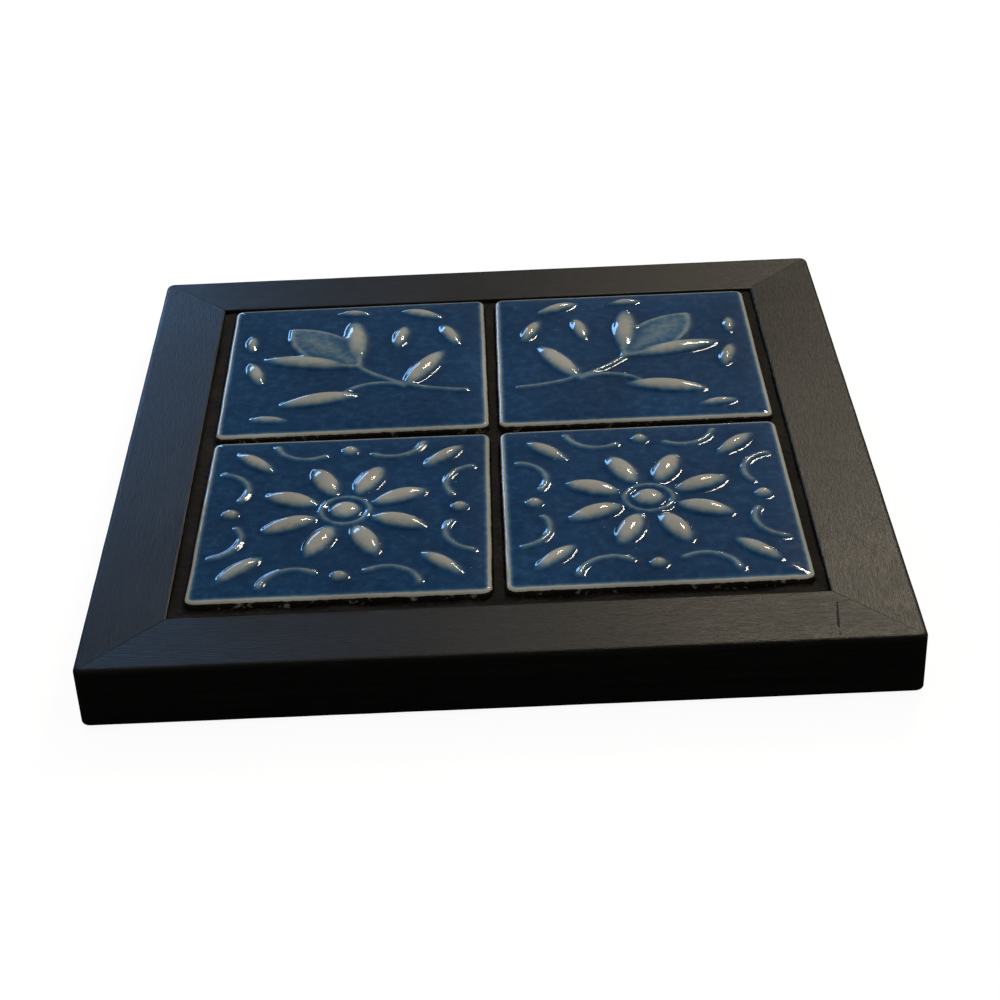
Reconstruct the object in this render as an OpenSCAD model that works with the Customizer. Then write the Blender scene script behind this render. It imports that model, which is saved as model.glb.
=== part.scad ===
// Trivet: four glazed relief tiles, set in filler on a board, in a mitred wooden frame.
// Millimetres. X points right, Y to the back and Z up. The origin is on the table, under the
// middle of the frame.

/* [Tiles] */
// Width and depth of a square tile
tile_side = 75.5; // [72:0.5:80]
// Thickness of a tile, from its back to the ground of its relief
tile_t = 9; // [8:0.5:11]
// Radius of a tile's upright corners
tile_corner_r = 2.6; // [2:0.1:4]
// Radius of the rounded edge round a tile's face
tile_arris_r = 1.4; // [0.6:0.1:1.8]
// Gap between two tiles
tile_joint = 2.5; // [2:0.1:5]
// Gap between the tiles and the frame
edge_joint = 3.25; // [2.5:0.25:6]
// How far the four tiles were laid off centre, to the right
laid_right = 0.5; // [0:0.1:1]
// How far the four tiles were laid off centre, to the back
laid_back = 0.8; // [0:0.1:1]
// Largest turn of a tile from square, in degrees
laid_turn = 0.4; // [0:0.1:0.6]

/* [Relief] */
// Length of a full leaf
leaf_l = 19; // [14:0.5:20]
// Width of a full leaf
leaf_w = 6.4; // [4.5:0.1:7]
// Height of a full leaf over the ground
leaf_rise = 2.1; // [1.4:0.1:2.4]
// Width of a stem
stem_w = 1.7; // [1.2:0.1:2.4]
// Height of a stem over the ground
stem_rise = 0.8; // [0.5:0.05:0.9]
// Diameter of a round bead
bead_d = 4.4; // [3:0.1:5]
// Height of a round bead over the ground
bead_rise = 1.5; // [1:0.1:1.8]
// Length of a daisy petal
petal_l = 16; // [13:0.5:17]
// Width of a daisy petal
petal_w = 7; // [5:0.1:7.5]
// Diameter of a daisy's heart
heart_d = 9; // [7:0.5:10]
// Height of a daisy's heart over the ground
heart_rise = 1.9; // [1.4:0.1:2.2]
// Length of the tulip's middle petal
tulip_l = 31; // [27:1:33]
// Width of the tulip's middle petal
tulip_w = 14; // [11:0.5:15]
// Height of its flat face over the ground
tulip_rise = 0.6; // [0.4:0.05:0.75]
// Width of the raised outline round it
outline_w = 1.2; // [0.8:0.1:1.6]
// Height of that outline over the petal's face
tulip_outline_rise = 0.4; // [0.2:0.05:0.6]
// Length of the tulip's two side petals
side_petal_l = 27; // [24:0.5:29]
// Width of a side petal
side_petal_w = 7.5; // [6:0.5:8.5]
// Height of a side petal over the ground
side_petal_rise = 1.8; // [1.4:0.1:2.2]
// Distance from the head's foot to a side petal
side_petal_start = 2; // [1:0.1:3]
// Radius of the tulip's bowed stem
tulip_stem_r = 44; // [40:1:52]
// Radius of the short curved lines: the daisy's tendrils
tendril_r = 8.5; // [7:0.5:9.5]
// Radius of the stalk that carries the tulip's lower leaf
stalk_r = 12.5; // [11:0.5:14]

/* [Frame] */
// Width of a rail, seen from above
rail_w = 20; // [18:0.5:26]
// Thickness of a rail
rail_t = 16; // [15:0.5:20]
// Radius of the frame's upright outer corners
corner_r = 2.5; // [2:0.1:4]
// Radius of the frame's upper outer edges
arris_r = 1.3; // [0.5:0.1:1.8]
// Radius of its lower outer edges
foot_arris_r = 0.4; // [0.2:0.1:1]
// Width of the rebate under the inner edge of a rail
rebate_w = 8; // [7:0.5:9]

/* [Board, filler and pads] */
// Thickness of the backing board
board_t = 6; // [5:0.5:7]
// How far the board lies above the underside of the rails
board_recess = 0.5; // [0.2:0.1:0.8]
// Gap between the board's edge and the rebate
board_gap = 0.25; // [0.1:0.05:0.5]
// Thickness of the adhesive under a tile
bed_t = 2; // [1:0.5:3]
// How far the filler lies below the top of the rails
filler_drop = 1; // [0.5:0.1:2]
// Diameter of a felt pad
pad_d = 9; // [7:0.5:9]
// Distance from the frame's outer sides to a pad
pad_inset = 2.5; // [2:0.1:2.8]
// Thickness of a felt pad
pad_t = 1.2; // [0.8:0.1:2]

/* [Fasteners] */
// Diameter of a board screw's shank
screw_d = 2.8; // [2.4:0.1:3.2]
// Diameter of its countersunk head
screw_head_d = 5.4; // [4.8:0.1:5.8]
// Length of a board screw
screw_l = 12; // [10:0.5:13]
// Distance from a rail's middle to each of its two screws
screw_offset = 50; // [35:1:60]
// Width across the cross recess in a screw's head
drive_w = 3.2; // [2.4:0.1:3.6]
// Width of one slot of the cross recess
drive_slot = 0.7; // [0.5:0.1:1]
// Depth of the cross recess
drive_depth = 1; // [0.6:0.1:1.2]
// Length of a V nail's leg
nail_leg = 5; // [4:0.5:6]
// Thickness of a V nail
nail_t = 0.8; // [0.5:0.1:1.2]
// Height of a V nail
nail_h = 10; // [6:0.5:12]

/* [Hidden] */
$fn = 48;

// Overrun of every cut
over = 1;
// Depth that the roots of the relief go into a tile
root = 1.5;

// Plan sizes, worked out from the tiles to the outside of the frame
tile_pitch = tile_side + tile_joint;
opening = 2 * tile_side + tile_joint + 2 * edge_joint;
frame_side = opening + 2 * rail_w;
rebate_side = opening + 2 * rebate_w;
board_side = rebate_side - 2 * board_gap;

// Heights, from the table up
frame_z = pad_t;
frame_top = frame_z + rail_t;
board_z = frame_z + board_recess;
bed_z = board_z + board_t;
tile_z = bed_z + bed_t;
filler_top = frame_top - filler_drop;

// Screws stand in the middle of the rebate, pads and V nails in the solid wood outside it
screw_y = opening / 2 + rebate_w / 2;
foot_place = frame_side / 2 - pad_inset - pad_d / 2;
nail_place = rebate_side / 2 + (frame_side - rebate_side) / 4 - nail_leg / 2;

// Each tile's own turn, as shares of the largest one
front_left_turn_share = -1;
front_right_turn_share = 0.5;
back_left_turn_share = 0.7;
back_right_turn_share = -0.4;

// Colours of the pieces
black_wood = "#1d1c1b";
blue_glaze = "#1c3f66";
dark_filler = "#2c2620";
plywood = "#b9966a";
adhesive_grey = "#a9a59b";
zinc = "#b4b6b8";
black_felt = "#26282a";

// Radius of the circle that has this chord and this rise over it
function arc_r(chord, rise) = (chord * chord / 4 + rise * rise) / (2 * rise);

// What lies outside a quarter circle, at the corner of a profile
module corner_waste(r) {
    difference() {
        square(r + over);
        circle(r);
    }
}

// Half of an upright section: its outer side is at x = w, with its edges rounded
module half_section(w, h, top_r, bottom_r) {
    difference() {
        square([w, h]);
        if (top_r > 0) translate([w - top_r, h - top_r]) corner_waste(top_r);
        if (bottom_r > 0) translate([w - bottom_r, bottom_r]) mirror([0, 1]) corner_waste(bottom_r);
    }
}

// A square block whose upright corners and long edges are rounded
module eased_block(side, h, corner, top_r, bottom_r) {
    straight = side - 2 * corner;
    for (turn = [0, 90])
        rotate(turn) translate([-straight / 2, 0, 0]) rotate([90, 0, 90])
            linear_extrude(straight)
                for (flip = [0, 1]) mirror([flip, 0]) half_section(side / 2, h, top_r, bottom_r);
    for (x = [-1, 1], y = [-1, 1])
        translate([x * straight / 2, y * straight / 2, 0])
            rotate_extrude() half_section(corner, h, top_r, bottom_r);
}

// Plan of a tile
module tile_outline() {
    straight = tile_side - 2 * tile_corner_r;
    square([tile_side, straight], center = true);
    square([straight, tile_side], center = true);
    for (x = [-1, 1], y = [-1, 1]) translate([x * straight / 2, y * straight / 2]) circle(tile_corner_r);
}

// Carries a tile, or what lies under it, to its place: column and row are -1 or 1
module laid(column, row, turn_share) {
    translate([laid_right + column * tile_pitch / 2, laid_back + row * tile_pitch / 2, 0])
        rotate(laid_turn * turn_share) children();
}

module laid_front_left() laid(-1, -1, front_left_turn_share) children();
module laid_front_right() laid(1, -1, front_right_turn_share) children();
module laid_back_left() laid(-1, 1, back_left_turn_share) children();
module laid_back_right() laid(1, 1, back_right_turn_share) children();

// A plump leaf along X: a body of revolution that lies in the ground up to its footprint. Its
// ends are cut off in the ground, one root past the footprint's tips
module plump(l, w, rise) {
    long_r = arc_r(l, rise);
    thick_r = arc_r(w, rise);
    reach = l + 2 * root;
    translate([0, 0, rise - thick_r]) rotate([0, 90, 0]) rotate_extrude()
        intersection() {
            translate([thick_r - long_r, 0]) circle(long_r);
            translate([0, -reach / 2]) square([thick_r, reach]);
        }
}

// A round bead
module bead(d, rise) {
    r = arc_r(d, rise);
    rotate_extrude() intersection() {
        translate([0, rise - r]) circle(r);
        translate([0, -root]) square([r, root + rise]);
    }
}

// A raised line along an arc about the origin
module stem_arc(r, from, to, w, rise) {
    tube_r = arc_r(w, rise);
    translate([0, 0, rise - tube_r]) rotate(from) rotate_extrude(angle = to - from)
        translate([r, 0]) circle(tube_r);
}

// The same line with a square section, for the places where it runs into a leaf or a petal
module square_arc(r, from, to, w, rise) {
    rotate(from) rotate_extrude(angle = to - from) translate([r - w / 2, -root]) square([w, root + rise]);
}

// Plan of a pointed petal along X: where two equal circles overlap
module petal_plan(l, w) {
    side_r = arc_r(l, w / 2);
    intersection_for(side = [-1, 1]) translate([0, side * (side_r - w / 2)]) circle(side_r);
}

// The daisy: eight petals round a heart, and in each corner a leaf between two tendrils
daisy_petals = 8;
daisy_ring_r = heart_d / 2 + stem_w;
daisy_petal_r = daisy_ring_r + stem_w / 2 + petal_l / 2;
side_bead_share = 0.39;
corner_leaf_share = 0.47;
corner_size_share = 0.8;
tendril_out_share = 0.455;
tendril_side_share = 0.15;
tendril_from = 100;
tendril_to = 215;

module daisy() {
    bead(heart_d, heart_rise);
    for (half = [0, 180]) stem_arc(daisy_ring_r, half, half + 180, stem_w, stem_rise);
    for (i = [0 : daisy_petals - 1])
        rotate((i + 1 / 2) * 360 / daisy_petals) translate([daisy_petal_r, 0, 0])
            plump(petal_l, petal_w, leaf_rise);
    for (turn = [0 : 90 : 270]) rotate(turn) {
        translate([side_bead_share * tile_side, 0, 0]) bead(bead_d, bead_rise);
        rotate(45) translate([corner_leaf_share * tile_side, 0, 0])
            plump(leaf_l * corner_size_share, leaf_w * corner_size_share, leaf_rise * corner_size_share);
        for (side = [0, 1]) mirror([0, side, 0])
            translate([tendril_out_share * tile_side, tendril_side_share * tile_side, 0])
                stem_arc(tendril_r, tendril_from, tendril_to, stem_w, stem_rise);
    }
}

// The tulip: a head of three petals on a bowed stem, two long leaves and seven loose ones
tulip_place_share = [-0.01, -0.03];
tulip_axis = 50;
tulip_stem_turn = 46;
side_petal_turn = 36;
stem_overlap_turn = 1;
stalk_place_share = [-0.09, -0.327];
stalk_from = 30;
stalk_to = 125;
// Each leaf: place across and along as shares of the tile, its direction, and its length, width
// and height as shares of a full leaf
tulip_leaf_shares = [
    [-0.26, -0.06, 118, 1.25, 1.1, 1],
    [0.13, -0.27, -12, 1.25, 1.1, 1],
    [-0.36, 0.20, 70, 0.75, 0.75, 0.75],
    [-0.17, 0.20, 100, 0.75, 0.75, 0.75],
    [-0.25, 0.38, 25, 0.75, 0.75, 0.75],
    [0.02, 0.41, 5, 0.55, 0.55, 0.6],
    [0.41, 0.19, 88, 0.55, 0.55, 0.6],
    [0.38, -0.05, 75, 0.75, 0.75, 0.75],
    [0.31, -0.40, 8, 0.6, 0.6, 0.6]
];

module tulip() {
    translate(tulip_place_share * tile_side) {
        rotate(tulip_axis) translate([tulip_l / 2, 0, -root]) {
            linear_extrude(root + tulip_rise) petal_plan(tulip_l, tulip_w);
            linear_extrude(root + tulip_rise + tulip_outline_rise) difference() {
                petal_plan(tulip_l, tulip_w);
                petal_plan(tulip_l - 2 * outline_w, tulip_w - 2 * outline_w);
            }
        }
        for (side = [-1, 1])
            rotate(tulip_axis + side * side_petal_turn) translate([side_petal_start + side_petal_l / 2, 0, 0])
                plump(side_petal_l, side_petal_w, side_petal_rise);
        rotate(tulip_axis + 90) translate([tulip_stem_r, 0, 0]) rotate(180)
            square_arc(tulip_stem_r, -tulip_stem_turn, stem_overlap_turn, stem_w, stem_rise);
    }
    translate(stalk_place_share * tile_side) square_arc(stalk_r, stalk_from, stalk_to, stem_w, stem_rise);
    for (leaf = tulip_leaf_shares)
        translate([leaf[0], leaf[1]] * tile_side) rotate(leaf[2])
            plump(leaf[3] * leaf_l, leaf[4] * leaf_w, leaf[5] * leaf_rise);
}

// A tile: a block with a rounded face, and its relief on top
module tile() {
    color(blue_glaze) translate([0, 0, tile_z]) {
        eased_block(tile_side, tile_t, tile_corner_r, tile_arris_r, 0);
        translate([0, 0, tile_t]) children();
    }
}

module tile_front_left() laid_front_left() tile() daisy();
module tile_front_right() laid_front_right() tile() daisy();
module tile_back_left() laid_back_left() tile() mirror([1, 0, 0]) tulip();
module tile_back_right() laid_back_right() tile() tulip();

// The adhesive under a tile, spread over its whole back
module bed() {
    color(adhesive_grey) translate([0, 0, bed_z]) linear_extrude(bed_t) tile_outline();
}

module bed_front_left() laid_front_left() bed();
module bed_front_right() laid_front_right() bed();
module bed_back_left() laid_back_left() bed();
module bed_back_right() laid_back_right() bed();

// The filler: all that the tiles leave open inside the frame, down to the board
module joint_filler() {
    color(dark_filler) translate([0, 0, bed_z]) linear_extrude(filler_top - bed_z) difference() {
        square(opening, center = true);
        laid_front_left() tile_outline();
        laid_front_right() tile_outline();
        laid_back_left() tile_outline();
        laid_back_right() tile_outline();
    }
}

// The four V nails, each with one leg in either rail of its corner
module corner_v_nails() {
    color(zinc) for (turn = [0 : 90 : 270])
        rotate(turn) translate([nail_place, nail_place, frame_z]) linear_extrude(nail_h)
            difference() {
                square(nail_leg);
                translate([nail_t, nail_t]) square(nail_leg);
            }
}

// Carries a screw to each of its eight places, its head down and flush with the board
module at_screws() {
    for (turn = [0 : 90 : 270], side = [-1, 1])
        rotate(turn) translate([side * screw_offset, -screw_y, board_z]) children();
}

// A countersunk screw, and the hole that it fills
module screw_body() {
    cylinder(h = screw_l, d = screw_d);
    cylinder(h = (screw_head_d - screw_d) / 2, d1 = screw_head_d, d2 = screw_d);
}

module board_screws() {
    color(zinc) at_screws() difference() {
        screw_body();
        for (turn = [0, 90]) rotate(turn)
            translate([-drive_w / 2, -drive_slot / 2, -over]) cube([drive_w, drive_slot, drive_depth + over]);
    }
}

// The board, in the rebate under the rails
module backing_board() {
    color(plywood) difference() {
        translate([-board_side / 2, -board_side / 2, board_z]) cube([board_side, board_side, board_t]);
        at_screws() screw_body();
    }
}

// The front rail. The others are the same rail, turned
module rail() {
    reach = frame_side;
    color(black_wood) difference() {
        intersection() {
            translate([0, 0, frame_z]) eased_block(frame_side, rail_t, corner_r, arris_r, foot_arris_r);
            translate([0, 0, frame_z - over]) linear_extrude(rail_t + 2 * over)
                polygon([[0, 0], [-reach, -reach], [reach, -reach]]);
        }
        translate([-opening / 2, -opening / 2, frame_z - over]) cube([opening, opening, rail_t + 2 * over]);
        translate([-rebate_side / 2, -rebate_side / 2, frame_z - over])
            cube([rebate_side, rebate_side, bed_z - frame_z + over]);
        corner_v_nails();
        at_screws() screw_body();
    }
}

module front_rail() rail();
module right_rail() rotate(90) rail();
module back_rail() rotate(180) rail();
module left_rail() rotate(270) rail();

// A felt pad under a corner
module pad(column, row) {
    color(black_felt) translate([column * foot_place, row * foot_place, 0]) cylinder(h = pad_t, d = pad_d);
}

module pad_front_left() pad(-1, -1);
module pad_front_right() pad(1, -1);
module pad_back_left() pad(-1, 1);
module pad_back_right() pad(1, 1);

front_rail();
back_rail();
left_rail();
right_rail();
backing_board();
joint_filler();
tile_front_left();
tile_front_right();
tile_back_left();
tile_back_right();
bed_front_left();
bed_front_right();
bed_back_left();
bed_back_right();
corner_v_nails();
board_screws();
pad_front_left();
pad_front_right();
pad_back_left();
pad_back_right();
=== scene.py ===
# %% [markdown]
# # A tile trivet: four relief tiles in a black wooden frame
#
# This lesson dresses a square trivet: four glazed tiles with a raised pattern lie in dark filler
# inside a mitred wooden frame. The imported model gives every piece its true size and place. We
# make finer meshes for the pieces that show, and a node material for each finish. We work in
# millimetres and turn to Blender's metres only where a mesh is written.

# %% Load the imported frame
import math

import bmesh
import bpy
import numpy as np
from mathutils import Matrix, Vector, noise


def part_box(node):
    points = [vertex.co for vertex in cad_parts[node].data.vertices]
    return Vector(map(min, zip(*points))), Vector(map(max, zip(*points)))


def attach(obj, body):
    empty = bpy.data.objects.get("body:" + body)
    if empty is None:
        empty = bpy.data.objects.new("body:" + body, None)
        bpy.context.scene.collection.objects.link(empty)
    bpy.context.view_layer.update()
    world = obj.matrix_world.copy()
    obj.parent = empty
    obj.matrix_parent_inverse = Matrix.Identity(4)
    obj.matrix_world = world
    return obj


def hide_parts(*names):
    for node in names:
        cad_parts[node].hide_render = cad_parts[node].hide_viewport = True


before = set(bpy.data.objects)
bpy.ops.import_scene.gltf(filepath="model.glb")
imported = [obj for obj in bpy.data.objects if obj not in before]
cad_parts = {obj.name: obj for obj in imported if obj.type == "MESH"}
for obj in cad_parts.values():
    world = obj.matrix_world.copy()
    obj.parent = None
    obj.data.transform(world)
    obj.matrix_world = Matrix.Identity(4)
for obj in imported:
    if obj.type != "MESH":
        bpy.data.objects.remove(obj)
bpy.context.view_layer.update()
MM = 0.001
print("nodes:", len(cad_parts))

# %% [markdown]
# ## Sizes that everything follows
#
# A maker would measure the frame before cutting anything. We read the heights of the rails, the
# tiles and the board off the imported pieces, and name the few sizes of the pattern that can't be
# read from a box.

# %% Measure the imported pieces


def measure(node):
    """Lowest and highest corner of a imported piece, in millimetres."""
    low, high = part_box(node)
    return Vector(low) / MM, Vector(high) / MM


rail_low, rail_high = measure("front_rail")
board_high = measure("backing_board")[1]
filler_high = measure("joint_filler")[1]
bed_high = measure("bed_front_left")[1]

half_frame = round(-rail_low.y)
half_opening = filler_high.x
rail_bottom, rail_top = rail_low.z, rail_high.z
print("frame", 2 * half_frame, "opening", 2 * half_opening, "rails", rail_bottom, "to", rail_top)

TILE_SIDE = 75.5
TILE_THICKNESS = 9.0
TILE_CORNER = 2.6
TILE_ARRIS = 1.4
TILE_JOINT = 2.5
LAID_RIGHT = 0.5
LAID_BACK = 0.8
LAID_TURN = math.radians(0.4)
TILE_BOTTOM = bed_high.z
GROUND = TILE_BOTTOM + TILE_THICKNESS

# %% [markdown]
# ## Small helpers
#
# A node tree is easier to read when a node, its settings and its links stand on one line, so one
# helper adds them together. Colours are written as the hex values that a picture shows, and one
# function turns them into the linear values that a shader works with. A finished mesh always
# ends the same way: it rides on the frame's body and takes the place of its plain piece.

# %% Helpers for colours, nodes and pieces


def linear(hex_colour):
    """The linear colour of an sRGB hex value."""
    shares = [int(hex_colour[i : i + 2], 16) / 255 for i in (1, 3, 5)]
    curve = [c / 12.92 if c <= 0.04045 else ((c + 0.055) / 1.055) ** 2.4 for c in shares]
    return (*curve, 1.0)


def start_material(name):
    """A new material, and its tree with a Principled shader and an output."""
    material = bpy.data.materials.new(name)
    material.use_nodes = True
    tree = material.node_tree
    tree.nodes.clear()
    output = tree.nodes.new("ShaderNodeOutputMaterial")
    shader = tree.nodes.new("ShaderNodeBsdfPrincipled")
    tree.links.new(shader.outputs["BSDF"], output.inputs["Surface"])
    return material, tree, shader


def add(tree, kind, settings=None, values=None, **links):
    """Adds a node with its settings, its input values and its links, and returns it."""
    node = tree.nodes.new(kind)
    for name, value in (settings or {}).items():
        setattr(node, name, value)
    for name, value in (values or {}).items():
        node.inputs[name].default_value = value
    for name, socket in links.items():
        key = int(name[1:]) if name[1:].isdigit() else name
        tree.links.new(socket, node.inputs[key])
    return node


def ramp_stops(node, stops):
    """Sets a colour ramp from a list of (place, hex colour)."""
    ramp = node.color_ramp
    while len(ramp.elements) < len(stops):
        ramp.elements.new(0.5)
    for element, (place, colour) in zip(ramp.elements, stops):
        element.position = place
        element.color = linear(colour)


def ready(name, mesh, material, smooth_angle=None):
    """An object for a finished mesh, with smooth faces, riding on the frame's body."""
    mesh.materials.append(material)
    piece = bpy.data.objects.new(name, mesh)
    bpy.context.scene.collection.objects.link(piece)
    mesh.shade_smooth()
    if smooth_angle is not None:
        mesh.set_sharp_from_angle(angle=smooth_angle)
    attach(piece, "root")
    return piece


def mesh_from(bm, name):
    """A mesh in metres from a bmesh in millimetres, which is freed."""
    bmesh.ops.scale(bm, vec=Vector((MM, MM, MM)), verts=bm.verts)
    mesh = bpy.data.meshes.new(name)
    bm.to_mesh(mesh)
    bm.free()
    print(name, len(mesh.vertices), "points,", len(mesh.polygons), "faces")
    return mesh


# %% [markdown]
# ## The camera
#
# The trivet is seen from its front, about a third of the way up to straight above, with a mild
# telephoto lens. The camera was held by hand, so the picture leans a little: the right side sits
# higher. Depth of field stays off, because every part of the trivet is sharp.

# %% Place the camera
CAMERA_PLACE = Vector((2.6, -488.2, 308.9)) * MM
CAMERA_ANGLES = (math.radians(57.29), math.radians(2.13), math.radians(-1.21))
CAMERA_LENS = 75.08

camera_data = bpy.data.cameras.new("camera")
camera_data.lens = CAMERA_LENS
camera_data.sensor_width = 36.0
camera = bpy.data.objects.new("camera", camera_data)
camera.location = CAMERA_PLACE
camera.rotation_euler = CAMERA_ANGLES
bpy.context.scene.collection.objects.link(camera)
bpy.context.scene.camera = camera

# %% [markdown]
# ## The floor, the room's light and the lamps
#
# Glossy glaze and satin varnish show what stands round them, so the room matters as much as the
# lamps. What the gloss mirrors is a dim room: cool on the left, warm on the right, and nearly
# black in front, so the front face of the frame stays dark. Diffuse light comes evenly from
# above. A low window-like panel stands behind on the left and draws cool streaks on every raised
# form. A cluster of small warm lamps hangs behind on the right, halfway up, and leaves the broken
# highlights. The floor is dark to every ray but the camera's own, which sees it white with a soft
# shadow.

# %% Build the floor and the room
FLOOR_HALF = 4.0
floor_bm = bmesh.new()
bmesh.ops.create_grid(floor_bm, x_segments=2, y_segments=2, size=FLOOR_HALF)
floor_mesh = bpy.data.meshes.new("floor")
floor_bm.to_mesh(floor_mesh)
floor_bm.free()
floor = bpy.data.objects.new("floor", floor_mesh)
bpy.context.scene.collection.objects.link(floor)

FLOOR_GLOW = 0.86
floor_material = bpy.data.materials.new("pale_floor")
floor_material.use_nodes = True
tree = floor_material.node_tree
tree.nodes.clear()
path = add(tree, "ShaderNodeLightPath")
to_camera = add(
    tree, "ShaderNodeMix", {"data_type": "RGBA"}, {6: linear("#2c2b2a"), 7: linear("#ffffff")},
    _0=path.outputs["Is Camera Ray"],
)
paper = add(tree, "ShaderNodeBsdfDiffuse", None, None, Color=to_camera.outputs[2])
glow = add(tree, "ShaderNodeEmission", values={"Color": linear("#ffffff"), "Strength": 1.08})
seen = add(
    tree, "ShaderNodeMath", {"operation": "MULTIPLY"}, {1: FLOOR_GLOW},
    _0=path.outputs["Is Camera Ray"],
)
blend = add(
    tree, "ShaderNodeMixShader", None, None, _0=seen.outputs[0], _1=paper.outputs[0],
    _2=glow.outputs[0],
)
add(tree, "ShaderNodeOutputMaterial", None, None, Surface=blend.outputs[0])
floor.data.materials.append(floor_material)

world = bpy.data.worlds.new("soft_room")
bpy.context.scene.world = world
world.use_nodes = True
tree = world.node_tree
tree.nodes.clear()
direction = add(tree, "ShaderNodeTexCoord")
axes = add(tree, "ShaderNodeSeparateXYZ", None, None, Vector=direction.outputs["Generated"])
across = add(
    tree, "ShaderNodeMapRange", None, {"From Min": -0.4, "From Max": 0.4}, Value=axes.outputs["X"],
)
walls = add(tree, "ShaderNodeValToRGB", None, None, Fac=across.outputs["Result"])
ramp_stops(walls, [(0.0, "#46545f"), (0.45, "#545453"), (1.0, "#857a69")])
lit = add(
    tree, "ShaderNodeMapRange", {"clamp": True, "interpolation_type": "SMOOTHSTEP"},
    {"From Min": -0.3, "From Max": 0.5, "To Min": 0.06, "To Max": 1.0}, Value=axes.outputs["Y"],
)
room = add(
    tree, "ShaderNodeBackground", None, None, Color=walls.outputs["Color"],
    Strength=lit.outputs["Result"],
)
above = add(
    tree, "ShaderNodeMapRange", {"clamp": True},
    {"From Min": -0.1, "From Max": 1.0, "To Min": 0.1, "To Max": 0.62}, Value=axes.outputs["Z"],
)
soft = add(
    tree, "ShaderNodeBackground", None, {"Color": linear("#fbf9f4")},
    Strength=above.outputs["Result"],
)
white = add(tree, "ShaderNodeBackground", None, {"Color": linear("#ffffff"), "Strength": 1.0})
path = add(tree, "ShaderNodeLightPath")
mirrored = add(
    tree, "ShaderNodeMixShader", None, None, _0=path.outputs["Is Glossy Ray"], _1=soft.outputs[0],
    _2=room.outputs[0],
)
blend = add(
    tree, "ShaderNodeMixShader", None, None, _0=path.outputs["Is Camera Ray"],
    _1=mirrored.outputs[0], _2=white.outputs[0],
)
add(tree, "ShaderNodeOutputWorld", None, None, Surface=blend.outputs[0])

# %% Hang the lamps


def add_lamp(name, place, size, watts, colour, depth=None):
    """A soft lamp at a place in metres, turned to the middle of the trivet."""
    data = bpy.data.lights.new(name, "AREA")
    data.shape = "RECTANGLE" if depth else "DISK"
    data.size = size
    if depth:
        data.size_y = depth
    data.energy = watts
    data.color = linear(colour)[:3]
    lamp = bpy.data.objects.new(name, data)
    lamp.location = place
    lamp.rotation_euler = (-Vector(place)).to_track_quat("-Z", "Y").to_euler()
    bpy.context.scene.collection.objects.link(lamp)
    return lamp


def in_direction(azimuth, elevation, distance):
    """A place seen from the trivet: azimuth in degrees to the right of straight back."""
    level = distance * math.cos(math.radians(elevation))
    turn = math.radians(azimuth)
    return level * math.sin(turn), level * math.cos(turn), distance * math.sin(
        math.radians(elevation),
    )


add_lamp("window_panel", in_direction(-24, 12, 1.3), 0.5, 2.7, "#7fb6f5", depth=0.2)
CLUSTER_LAMPS = 14
CLUSTER_AZIMUTH, CLUSTER_ELEVATION = 27, 44
CLUSTER_RADIUS = 8.0
GOLDEN_TURN = math.radians(137.5)
for index in range(CLUSTER_LAMPS):
    reach = CLUSTER_RADIUS * math.sqrt((index + 0.5) / CLUSTER_LAMPS)
    turn = index * GOLDEN_TURN
    azimuth = CLUSTER_AZIMUTH + reach * math.cos(turn)
    elevation = CLUSTER_ELEVATION + reach * math.sin(turn)
    add_lamp(
        f"cluster_lamp_{index + 1}", in_direction(azimuth, elevation, 1.1), 0.032, 0.25, "#fff0d6",
    )

# %% [markdown]
# ## Finish: black-stained wood
#
# The rails are a fine-grained hardwood, planed, stained black and given a thin coat of satin
# varnish. The stain hides the colour of the wood but not its grain: long pores, about a third of
# a millimetre wide and a few centimetres long, still catch the light. The varnish makes the top
# mirror the room in a soft way, and handling has rubbed the edges a little. A noise that is
# stretched along the rail gives the pores. One function makes it for both directions, because
# the grain always runs along the rail.

# %% Make the stained wood
PORE_WIDTH = 0.26
PORE_LENGTH = 5.0
BAND_WIDTH = 1.6
BAND_LENGTH = 60.0
DUST_APART = 24.0
DUST_SIZE = 0.5


def stretched(width, length, along_x):
    """Scales for a noise whose grains are that wide and that long, in millimetres."""
    fine, slow = 1 / (width * MM), 1 / (length * MM)
    return (slow, fine, fine) if along_x else (fine, slow, fine)


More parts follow.
